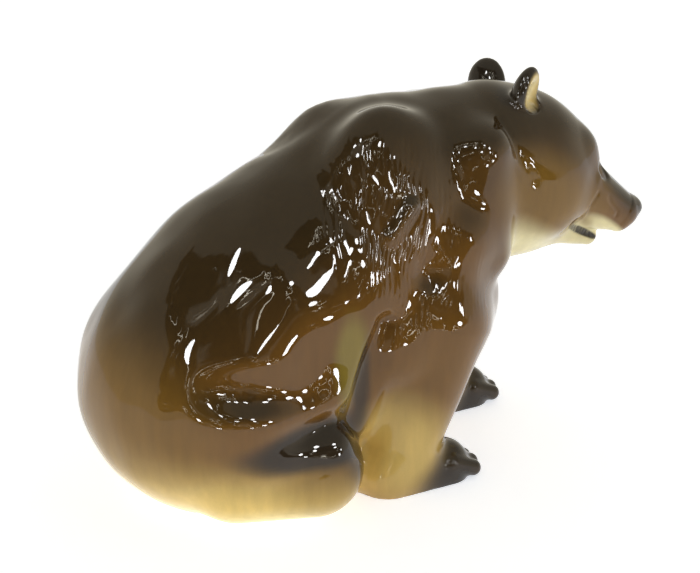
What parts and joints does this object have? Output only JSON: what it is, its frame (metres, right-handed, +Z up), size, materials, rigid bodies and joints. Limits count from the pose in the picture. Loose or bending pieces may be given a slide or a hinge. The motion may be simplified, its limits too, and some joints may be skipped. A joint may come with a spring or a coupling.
{
  "type": "bear figurine",
  "caption": "Seated bear in glossy glazed porcelain, head lowered and turned a little to its right, one foreleg set ahead of the other, flat underneath.",
  "frame": {"origin": "centre of the bounding box's base, on the surface that the bear stands on", "axes": "+X from the rump towards the nose, +Y to the bear's left, +Z up"},
  "size_m": [0.2502, 0.1222, 0.164],
  "materials": {
    "glaze": "brown underglaze painting under a clear gloss glaze on porcelain"
  },
  "bodies": {
    "root": {"bear": "glaze"}
  },
  "joints": []
}
